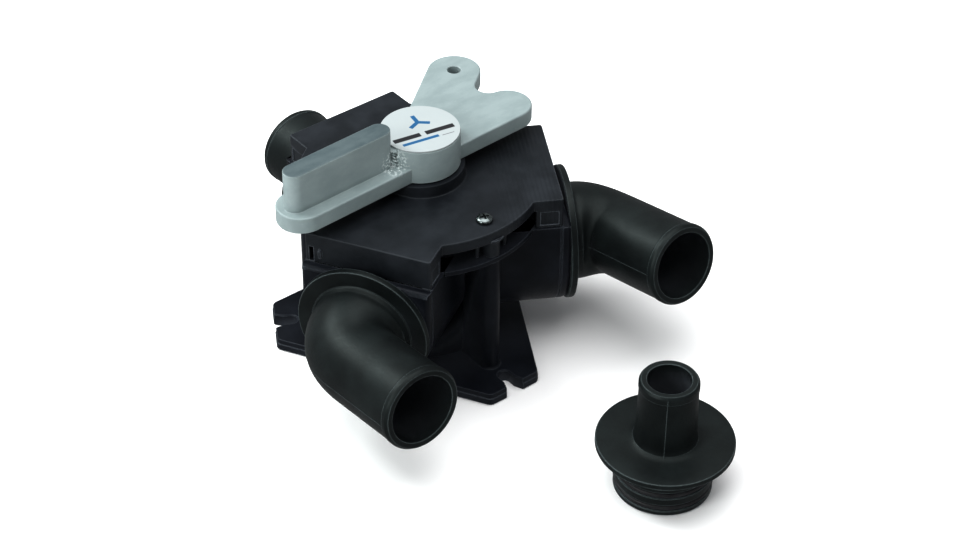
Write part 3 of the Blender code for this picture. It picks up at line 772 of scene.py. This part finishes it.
def arm_outline():
    """An arm seen from its end: flat on top, half round below, as (across, height)."""
    bottom = [(x, PORT_HEIGHT + y) for x, y in arc((0, 0), ARM_HALF, 180, 360, 56)]
    corners = [(ARM_HALF, BODY_TOP), (-ARM_HALF, BODY_TOP), (0, 0)]
    top = soften(corners, 0.5)[:10]    # five points round each of the two upper corners
    return bottom + top


def rib_outline(start, reach, half):
    """A radial rib with a round nose, seen from above."""
    return [(start, half), (start, -half)] + arc((reach, 0), half, -90, 90, 24)


def stadium(start, end, half):
    """A bar with two round ends, seen from above."""
    return arc((end, 0), half, -90, 90, 28) + arc((start, 0), half, 90, 270, 28)


def handle_outline():
    """The lever's flat plate: grip, plain tail, filleted notch and holed tail."""
    lean = Vector(polar(LOBE_ANGLE, 1.0))
    square = Vector((lean.y, -lean.x))
    tail_end = Vector((-TAIL_REACH, 0.0))
    start = square * (LOBE_HALF + NOTCH_FILLET)
    gap = start - tail_end
    run = gap.dot(lean)
    touch = BAR_HALF + NOTCH_FILLET
    middle = start + lean * (math.sqrt(run * run - gap.length_squared + touch * touch) - run)
    joint = math.degrees(math.atan2(middle.y, middle.x + TAIL_REACH)) % 360
    meet = square * -LOBE_HALF
    meet += lean * ((-BAR_HALF - meet.y) / lean.y)
    points = arc((GRIP_REACH, 0), BAR_HALF, -90, 90, 28)
    points += arc(tail_end, BAR_HALF, 90, joint, 28)
    points += arc(middle, NOTCH_FILLET, joint - 180, LOBE_ANGLE + 90, 16)[1:]
    points += arc(lean * LOBE_REACH, LOBE_HALF, LOBE_ANGLE - 90, LOBE_ANGLE + 90, 32)
    return points + [tuple(meet)]


# ---------------------------------------------------------------- pieces

def clear_mouth(thing):
    """Removes the slivers that the cuts leave across the chamber's open mouth."""
    shape = bmesh.new()
    shape.from_mesh(thing.data)
    inside = (CHAMBER_RADIUS - 0.5) * MM
    low = (BODY_TOP - 1.0) * MM
    slivers = [vert for vert in shape.verts if vert.co.xy.length < inside and vert.co.z > low]
    bmesh.ops.delete(shape, geom=slivers, context="VERTS")
    shape.to_mesh(thing.data)
    shape.free()


def body_solids():
    """The body's base, and the meshes that join it: core, rim, arm, column and column fillet."""
    base = loft(base_outline(),
                [(0, 0.5), (0.5, 0), (FOOT_LEDGE, 0), (FOOT_LEDGE + 0.25, BASE_LIP),
                 (BASE_THICK - 0.6, BASE_LIP), (BASE_THICK - 0.15, BASE_LIP + 0.2),
                 (BASE_THICK, BASE_LIP + 0.6)])
    core = turned([(1, CORE_RADIUS), (BODY_TOP, CORE_RADIUS)], CIRCLE_SIDES)
    rim_low = BODY_TOP - RIM_THICK
    rim = turned([(rim_low, RIM_RADIUS - 0.4), (rim_low + 0.4, RIM_RADIUS),
                  (BODY_TOP - 0.6, RIM_RADIUS), (BODY_TOP - 0.18, RIM_RADIUS - 0.18),
                  (BODY_TOP, RIM_RADIUS - 0.6)], 180)
    arm_stations = [(ARM_START, 0), (ARM_GROOVE, 0), (ARM_GROOVE + 0.3, GROOVE_DEPTH),
                    (ARM_GROOVE + 0.8, GROOVE_DEPTH), (ARM_GROOVE + 1.1, 0)]
    for step in range(5):
        turn = math.radians(90 * step / 4)
        arm_stations.append((ARM_END - ARM_END_ROUND * (1 - math.sin(turn)),
                             ARM_END_ROUND * (1 - math.cos(turn))))
    arm = loft_along_x(arm_outline(), arm_stations)
    rib = rib_outline(RIB_START, COLUMN_REACH, COLUMN_HALF)
    column = loft(rib, eased(RIB_FOOT, BODY_TOP - 0.8, 0.4))
    fillet = loft(rib, [(RIB_FOOT, -1.0), (BASE_THICK, -0.9), (BASE_THICK + 0.5, -0.3),
                        (BASE_THICK + 1.2, 0.02)])
    return base, core, rim, arm, column, fillet


def make_body(look):
    base, core, rim, arm, column, fillet = body_solids()
    body = place("valve_body_moulding", base)
    join(body, [place("core", core)])
    join(body, around(CORNERS.values(), fillet))
    join(body, around(CORNERS.values(), column))
    join(body, [place("rim", rim)])
    join(body, around(PORTS.values(), arm))

    lift = shift(0, 0, PORT_HEIGHT)
    x_axis = (1, 0, 0)
    chamber = turned([(CHAMBER_FLOOR, CHAMBER_RADIUS), (CHAMBER_CUT_TOP, CHAMBER_RADIUS)], 96)
    socket = turned([(SOCKET_FLOOR, SOCKET_RADIUS), (ARM_END - 0.6, SOCKET_RADIUS),
                     (ARM_END + 1, SOCKET_RADIUS + 1.6)], 72, x_axis)
    pocket = turned([(ARM_START, SEAL_POCKET_RADIUS), (SEAL_POCKET_FLOOR, SEAL_POCKET_RADIUS)],
                    48, x_axis)
    hole = turned([(along, PORT_HOLE) for along in PORT_HOLE_SPAN], 48, x_axis)
    slit = block(*CLIP_SLIT)
    slot = loft(slot_outline(), [(-1, 0), (BASE_THICK - 0.5, 0), (BASE_THICK + 0.1, -0.6)])
    pilot = turned([(height, SCREW_HOLE) for height in PILOT_SPAN], 24)
    cut(body, [place("chamber", chamber)])
    for mesh in (socket, pocket, hole):
        cut(body, around(PORTS.values(), mesh, lift))
    cut(body, around(PORTS.values(), slit))
    cut(body, around(CORNERS.values(), slot))
    cut(body, around(CORNERS.values(), pilot, shift(SCREW_CIRCLE, 0, 0)))
    clear_mouth(body)
    finish_piece(body, look, "valve", ["valve_body"])


def make_cover(look):
    plate_low = COVER_TOP - COVER_PLATE
    plate = loft(cover_outline(), eased(plate_low, COVER_TOP, COVER_EASE))
    cover = place("top_cover_moulding", plate)
    ring_low = BODY_TOP + RING_GAP
    ring = turned([(ring_low, RING_INNER), (ring_low, RING_OUTER), (plate_low + 1, RING_OUTER),
                   (plate_low + 1, RING_INNER)], CIRCLE_SIDES, closed=True)
    skirt_low = BODY_TOP + SKIRT_GAP
    reach = math.sqrt(COVER_ARC ** 2 - COVER_HALF ** 2) + SKIRT_OVERLAP
    outer = soften([(reach, -COVER_HALF), (COVER_END, -COVER_HALF), (COVER_END, COVER_HALF),
                    (reach, COVER_HALF)], COVER_CORNER, 4)
    skirt = loft(outer, [(skirt_low, 0.5), (skirt_low + 0.15, 0.2), (skirt_low + 0.5, 0.05),
                         (plate_low + 1, 0.05)])
    hollow = block((reach - 2, SKIRT_WALL - COVER_HALF, skirt_low - 1),
                   (COVER_END - SKIRT_WALL, COVER_HALF - SKIRT_WALL, plate_low))
    boss = loft(rib_outline(RING_OUTER + 0.6, COLUMN_REACH, COLUMN_HALF - 0.2),
                [(BODY_TOP + 0.3, 0.3), (BODY_TOP + 0.6, 0), (plate_low - 2.5, 0),
                 (plate_low - 0.8, -0.6), (plate_low + 0.2, -1.6), (plate_low + 1, -1.6)])
    pin = turned([(BODY_TOP + 1.2, 0.7), (BODY_TOP + 1.6, 1.0), (plate_low + 1, 1.1)], 24)
    neck = turned([(COVER_TOP - 1, NECK_RADIUS + 1.2), (COVER_TOP, NECK_RADIUS + 1.0),
                   (COVER_TOP + 0.35, NECK_RADIUS + 0.35), (COVER_TOP + 1.0, NECK_RADIUS),
                   (NECK_TOP - 0.6, NECK_RADIUS), (NECK_TOP - 0.18, NECK_RADIUS - 0.18),
                   (NECK_TOP, NECK_RADIUS - 0.6)], CIRCLE_SIDES)
    oval = [(x * NUB_HALF[0] + NUB_PLACE[0], y * NUB_HALF[1] + NUB_PLACE[1])
            for x, y in arc((0, 0), 1, 0, 342, 19)]
    nub = loft_along_x(oval, [(COVER_END - 1.8, 0), (COVER_END + 0.45, 0), (COVER_END + 0.8, 0.35)])
    join(cover, around(PORTS.values(), skirt))
    cut(cover, around(PORTS.values(), hollow))
    join(cover, [place("ring", ring)])
    join(cover, around(CORNERS.values(), boss))
    for side in (-PIN_DEGREES, PIN_DEGREES):
        headings = [heading + side for heading in CORNERS.values()]
        join(cover, around(headings, pin, shift(PIN_CIRCLE, 0, 0)))
    join(cover, [place("neck", neck)])
    join(cover, around(PORTS.values(), nub))

    bore = turned([(height, SPINDLE_BORE) for height in HOLE_SPAN], 64)
    screw_hole = turned([(height, SCREW_HOLE) for height in HOLE_SPAN], 24)
    notch = block((COVER_END - 3.8, -27.4, 65), (COVER_END + 1.2, -25.3, 77))
    panel = block((reach + 2.2, -COVER_HALF - 1, skirt_low + 1.4),
                  (COVER_END - 2.0, -COVER_HALF + 0.45, plate_low - 0.8))
    cut(cover, [place("bore", bore)])
    cut(cover, around(CORNERS.values(), screw_hole, shift(SCREW_CIRCLE, 0, 0)))
    cut(cover, around(PORTS.values(), notch))
    cut(cover, around(PORTS.values(), panel))
    mirrored = panel.copy()
    mirrored.transform(Matrix.Diagonal((1, -1, 1, 1)))
    mirrored.flip_normals()
    cut(cover, around(PORTS.values(), mirrored))
    finish_piece(cover, look, "valve", ["top_cover"])


def make_screws(look):
    seat = SCREW_HIGH - HEAD_HEIGHT
    profile = [(seat + height, radius) for height, radius in SCREW_PROFILE]
    recess = block((-RECESS_LONG, -RECESS_HALF, seat + RECESS_FLOOR),
                   (RECESS_LONG, RECESS_HALF, seat + HEAD_HEIGHT + 1.0))
    for number, heading in CORNERS.items():
        screw = place(f"cover_screw_{number}_turned", turned(profile, 48))
        cut(screw, around((0, 90), recess))
        matrix = turn_about_z(heading) @ shift(SCREW_CIRCLE, 0, 0)
        screw.data.transform(matrix @ turn_about_z(SCREW_TURN * number))
        finish_piece(screw, look, "valve", [f"cover_screw_{number}"])


def plug_profile(start, ease=0.35):
    """Plug from its free end to the flange, with its two O-ring grooves and clip groove."""
    profile = [(start, PLUG_RADIUS - 0.8), (start + 0.8, PLUG_RADIUS)]
    for groove, width in GROOVES:
        low = start + groove
        high = low + width
        profile += [(low - ease, PLUG_RADIUS), (low, PLUG_RADIUS - ease), (low, GROOVE_RADIUS),
                    (high, GROOVE_RADIUS), (high, PLUG_RADIUS - ease), (high + ease, PLUG_RADIUS)]
    profile.append((start + PLUG_LENGTH - 0.4, PLUG_RADIUS))
    profile.append((start + PLUG_LENGTH, PLUG_RADIUS + 0.4))
    return profile


def flange_profile(start, radius, thick):
    """A flange's rim with eased edges."""
    return [(start, radius - 0.5), (start + 0.5, radius), (start + thick - 0.7, radius),
            (start + thick - 0.2, radius - 0.25), (start + thick, radius - 0.8)]


FLANGE_START = PLUG_START + PLUG_LENGTH
FLANGE_END = FLANGE_START + FLANGE_THICK
PORT_FLANGE = flange_profile(FLANGE_START, FLANGE_RADIUS, FLANGE_THICK)


def elbow_mesh(count=96, steps=26):
    """Elbow about the X axis: plug, flange, collar, swept bend, tail and raised end band."""
    seams = (0.0, 180.0)
    angles = ring_angles(count, seams)
    x_axis = Vector((1, 0, 0))
    rings = []
    for along, radius in plug_profile(PLUG_START) + PORT_FLANGE:
        rings.append(ring_points(x_axis * along, x_axis, radius, angles))
    for along, extra in COLLAR_ROWS:
        centre = x_axis * (FLANGE_END + along)
        rings.append(ring_points(centre, x_axis, COLLAR_RADIUS + extra, angles, seams, SEAM_HEIGHT))
    bend = math.radians(ELBOW_BEND)
    start = ELBOW_CORNER - BEND_RADIUS * math.tan(bend / 2)
    stations = []
    for step in range(steps + 1):
        angle = bend * step / steps
        point = Vector((start + BEND_RADIUS * math.sin(angle), BEND_RADIUS * (1 - math.cos(angle)), 0))
        along = Vector((math.cos(angle), math.sin(angle), 0))
        stations.append((point, along))
        share = (1 + math.cos(math.pi * step / steps)) / 2
        radius = SLIM_RADIUS + (BEND_START_RADIUS - SLIM_RADIUS) * share
        rings.append(ring_points(point, along, radius, angles, seams, SEAM_HEIGHT))
    away = stations[-1][1]
    leg_end = Vector((ELBOW_CORNER, 0, 0)) + ELBOW_LEG * away
    for back, radius, ridge in tail_end_rows():
        rings.append(ring_points(leg_end - away * back, away, radius, angles, seams, ridge))
    for point, along in reversed(stations):
        rings.append(ring_points(point, along, BORE, angles))
    rings.append(ring_points(x_axis * (PLUG_START + 0.5), x_axis, BORE, angles))
    rings.append(ring_points(x_axis * PLUG_START, x_axis, BORE + 0.5, angles))
    return skin(rings, True)


def elbow_matrix(port):
    """Turns the elbow to its rest angle, read from the direction of its hose end."""
    leg = turn_about_z(-PORTS[port]).to_3x3() @ Vector(MOUNTS[f"hose_end_{port}"]["axis"])
    turn = math.degrees(math.atan2(leg.z, leg.y))
    return turn_about_z(PORTS[port]) @ shift(0, 0, PORT_HEIGHT) @ turn_about_x(turn)


def tail_end_rows():
    """The hose tail's end band, rounded lip and bore mouth: (distance back, radius, ridge)."""
    return ((BAND + 0.9, SLIM_RADIUS, SEAM_HEIGHT), (BAND + 0.3, SLIM_RADIUS, SEAM_HEIGHT),
            (BAND, SLIM_RADIUS + 0.1, 0), (BAND - 0.25, TAIL_RADIUS, 0),
            (1.7, TAIL_RADIUS, 0), (1.3, TAIL_RADIUS - 0.08, 0),
            (0.25, TAIL_RADIUS - 0.75, 0), (0, TAIL_RADIUS - 1.1, 0),
            (0, BORE + 0.5, 0), (0.15, BORE + 0.15, 0), (0.5, BORE, 0))


def straight_tail_mesh():
    """Straight hose tail about the X axis, with the elbows' plug, flange and end band."""
    profile = plug_profile(PLUG_START) + PORT_FLANGE
    profile += [(FLANGE_END + along, SLIM_RADIUS + extra) for along, extra in STRAIGHT_FOOT]
    profile += [(STRAIGHT_END - back, radius) for back, radius, _ in tail_end_rows()]
    profile += [(PLUG_START + 0.5, BORE), (PLUG_START, BORE + 0.5)]
    return turned(profile, 96, (1, 0, 0), closed=True)


def make_port_fittings(look):
    mesh = elbow_mesh()
    for port in "ab":
        elbow = place(f"elbow_{port}_moulding", mesh, elbow_matrix(port))
        finish_piece(elbow, look, f"elbow_{port}", [f"elbow_{port}"], MOULDING_CREASE)
    matrix = turn_about_z(PORTS["c"]) @ shift(0, 0, PORT_HEIGHT)
    tail = place("straight_tail_moulding", straight_tail_mesh(), matrix)
    finish_piece(tail, look, "straight_tail", ["straight_tail"], MOULDING_CREASE)


def rough_web():
    """The lumpy web of plastic that joins the fin's inner end to the hub."""
    rings = []
    for row in range(WEB_ROWS + 1):
        climb = row / WEB_ROWS
        level = BAR_TOP - 0.5 + (HUB_TOP - BAR_TOP + 0.2) * climb
        ring = []
        for step in range(WEB_POINTS):
            angle = 2 * math.pi * step / WEB_POINTS
            lump = sum(size * math.sin(waves * angle + twist * row) for size, waves, twist in WEB_LUMPS)
            reach = 1.0 - 0.22 * math.sin(math.pi * climb) + 0.12 * (1 - climb) + lump * 0.3
            ring.append((WEB_CENTRE + WEB_SIZE[0] * reach * math.cos(angle),
                         WEB_SIZE[1] * reach * math.sin(angle), level))
        rings.append(ring)
    return skin(rings, False)


def make_handle(look):
    plate = loft(handle_outline(), eased(BAR_BOTTOM, BAR_TOP, 0.8, 4))
    hub = turned([(BAR_BOTTOM, HUB_RADIUS - 0.6), (BAR_BOTTOM + 0.6, HUB_RADIUS),
                  (BAR_TOP - 0.2, HUB_RADIUS), (BAR_TOP, HUB_RADIUS + 0.02),
                  (HUB_TOP - 0.5, HUB_RADIUS), (HUB_TOP - 0.15, HUB_RADIUS - 0.15),
                  (HUB_TOP, HUB_RADIUS - 0.5)], 144)
    fin_stations = [(BAR_TOP - 2, -0.5), (BAR_TOP, -0.45), (BAR_TOP + 0.15, -0.15), (BAR_TOP + 0.5, 0)]
    fin_stations += eased(BAR_TOP + 2, FIN_TOP, 0.5, 4)[5:]    # only the upper rim is rounded
    fin = loft(stadium(FIN_START, FIN_END, FIN_HALF), fin_stations)
    handle = place("handle_moulding", plate)
    join(handle, [place("hub", hub)])
    join(handle, [place("web", rough_web())])
    join(handle, [place("fin", fin)])
    clear_radius = HUB_RADIUS + 0.05
    clear = turned([(HUB_TOP - 0.01, clear_radius), (FIN_TOP + 5, clear_radius)], 144)
    eye = turned([(80, LOBE_HOLE + 9), (BAR_BOTTOM - 0.3, LOBE_HOLE + 0.7), (BAR_BOTTOM + 0.4, LOBE_HOLE),
                  (BAR_TOP - 0.3, LOBE_HOLE), (BAR_TOP + 0.3, LOBE_HOLE + 0.6), (105, LOBE_HOLE + 7)], 48)
    drive = block((-DRIVE_HALF, -DRIVE_HALF, 80), (DRIVE_HALF, DRIVE_HALF, DRIVE_TOP))
    shank = turned([(95, SHANK_RADIUS), (120, SHANK_RADIUS)], 32)
    sink = turned([(SINK_FLOOR, SINK_RADIUS), (120, SINK_RADIUS)], 48)
    lobe_x, lobe_y = polar(LOBE_ANGLE, LOBE_REACH)
    cut(handle, [place("clear", clear)])
    cut(handle, [place("eye", eye, shift(lobe_x, lobe_y, 0))])
    cut(handle, [place("drive", drive), place("shank", shank), place("sink", sink)])
    handle.data.transform(turn_about_z(HANDLE_HEADING))
    finish_piece(handle, look, "handle_set", ["handle"], 30.0)


def make_label(look):
    low = LABEL_LOW.z - 0.2
    high = LABEL_HIGH.z
    profile = [(low, LABEL_RADIUS - 0.1), (high - 0.12, LABEL_RADIUS),
               (high - 0.03, LABEL_RADIUS - 0.06), (high, LABEL_RADIUS - 0.2)]
    label = place("hub_label_print", turned(profile, 144))
    finish_piece(label, look, "handle_set", ["hub_label"])


def make_reducer(look, rubber):
    top = REDUCER_HIGH.z
    middle = (REDUCER_LOW + REDUCER_HIGH) / 2
    matrix = shift(middle.x, middle.y, 0)
    high = PLUG_LENGTH + REDUCER_FLANGE_THICK
    profile = plug_profile(0)
    plug_rows = len(profile)
    profile += flange_profile(PLUG_LENGTH, REDUCER_FLANGE_RADIUS, REDUCER_FLANGE_THICK)
    profile += [(high + rise, radius) for rise, radius in REDUCER_FOOT]
    profile += [(top - drop, REDUCER_TAIL_RADIUS + extra) for drop, extra in REDUCER_END]
    outer_rows = len(profile)
    wide, narrow = REDUCER_TAPER
    profile += [(top, REDUCER_BORE + 0.5), (top - 0.15, REDUCER_BORE + 0.15), (top - 0.5, REDUCER_BORE),
                (narrow, REDUCER_BORE), (wide, BORE), (0.5, BORE), (0, BORE + 0.5)]
    mesh = turned(profile, CIRCLE_SIDES, closed=True, seams=(REDUCER_SEAM, REDUCER_SEAM + 180.0),
                  seam_rows=range(plug_rows, outer_rows - 2))
    reducer = place("reducer_moulding", mesh, matrix)
    finish_piece(reducer, look, "reducer", ["reducer"], MOULDING_CREASE)
    for name, (start, width) in zip(("reducer_lower_oring", "reducer_upper_oring"), GROOVES):
        along = start + width / 2
        section = [(along + y, ORING_RADIUS + x) for x, y in arc((0, 0), ORING_SECTION, 0, 337.5, 15)]
        oring = place(f"{name}_smooth", turned(section, CIRCLE_SIDES, closed=True), matrix)
        finish_piece(oring, rubber, "reducer", [name], 60.0)


def dress_cad_nodes(looks):
    """Gives every CAD node a procedural material by its slot in the record."""
    slots = {entry["node"]: entry["material_slot"] for entry in frame["record"]["subparts"]}
    for name, node in frame["nodes"].items():
        node.data.materials.clear()
        node.data.materials.append(looks[slots[name]])


# ---------------------------------------------------------------- stage, light and camera

def make_floor():
    look = Look("floor_paper")
    tone = look.noise(3.0, 3.0, 0.5)
    base = look.mix(tone, (0.93, 0.93, 0.93), (0.95, 0.95, 0.95))
    look.set(Base_Color=base, Roughness=0.9, Specular_IOR_Level=0.1)
    corners = [(x * FLOOR_REACH, y * FLOOR_REACH, 0) for x, y in ((-1, -1), (1, -1), (1, 1), (-1, 1))]
    floor = place("floor", mesh_from(corners, [(0, 1, 2, 3)]))
    floor.data.materials.append(look.material)
    floor.visible_glossy = False


def make_light(name, where, side, power, colour):
    lamp = bpy.data.lights.new(name, "AREA")
    lamp.shape = "SQUARE"
    lamp.size = side
    lamp.energy = power
    lamp.color = colour
    holder = bpy.data.objects.new(name, lamp)
    bpy.context.scene.collection.objects.link(holder)
    holder.location = where
    holder.rotation_mode = "QUATERNION"
    holder.rotation_quaternion = (Vector(LIGHT_AIM) - Vector(where)).to_track_quat("-Z", "Y")


def light_the_stage():
    world = bpy.data.worlds.new("studio")
    bpy.context.scene.world = world
    world.use_nodes = True
    back = world.node_tree.nodes["Background"]
    back.inputs["Color"].default_value = WORLD_COLOUR
    back.inputs["Strength"].default_value = WORLD_STRENGTH
    for light in LIGHTS:
        make_light(*light)


def make_camera():
    lens = bpy.data.cameras.new("camera")
    lens.sensor_width = 36.0
    lens.lens = CAMERA_LENS
    lens.clip_end = 50.0
    camera = bpy.data.objects.new("camera", lens)
    bpy.context.scene.collection.objects.link(camera)
    right = Vector(CAMERA_RIGHT)
    up = Vector(CAMERA_UP)
    turn = Matrix((right, up, right.cross(up))).transposed().to_4x4()
    camera.matrix_world = Matrix.Translation(CAMERA_PLACE) @ turn
    bpy.context.scene.camera = camera


# the edge colour is partly wear, partly painted edge highlight; the pale recess colour is painted fill light
body_look = moulded_plastic("body_plastic_look",
                            deep=(0.004, 0.005, 0.008), pale=(0.009, 0.011, 0.016),
                            edge_wear_and_highlight_colour=(0.06, 0.068, 0.08), roughness=0.42, specular=0.20,
                            tint=(0.88, 0.94, 1.0), dust_and_painted_light=(0.055, 0.062, 0.076), depth=(0.5, 0.12))
# the edge colour is partly wear, partly painted edge highlight; the pale recess colour is painted fill light
elbow_look = moulded_plastic("elbow_plastic_look",
                             deep=(0.004, 0.0055, 0.006), pale=(0.008, 0.011, 0.0115),
                             edge_wear_and_highlight_colour=(0.13, 0.16, 0.165), roughness=0.45, specular=0.26,
                             tint=(0.88, 1.0, 0.98), dust_and_painted_light=(0.11, 0.12, 0.14), depth=(0.32, 0.08))
cover_look = cover_plastic("cover_plastic_look")
grey_look = handle_plastic("handle_plastic_look")
label_look = label_print("label_print_look")
steel_look = bright_steel("stainless_steel_look")
rubber_look = seal_rubber("seal_rubber_look")

dress_cad_nodes({"body_plastic": body_look, "elbow_plastic": elbow_look,
                 "handle_plastic": grey_look, "label_face": label_look,
                 "stainless_steel": steel_look, "seal_rubber": rubber_look,
                 "rotor_plastic": bearing_plastic("rotor_plastic_look")})
make_body(body_look)
make_cover(cover_look)
make_screws(steel_look)
make_port_fittings(elbow_look)
make_handle(grey_look)
make_label(label_look)
make_reducer(elbow_look, rubber_look)
make_floor()
light_the_stage()
make_camera()
bpy.context.scene.view_settings.view_transform = "Standard"
bpy.context.scene.view_settings.gamma = VIEW_GAMMA
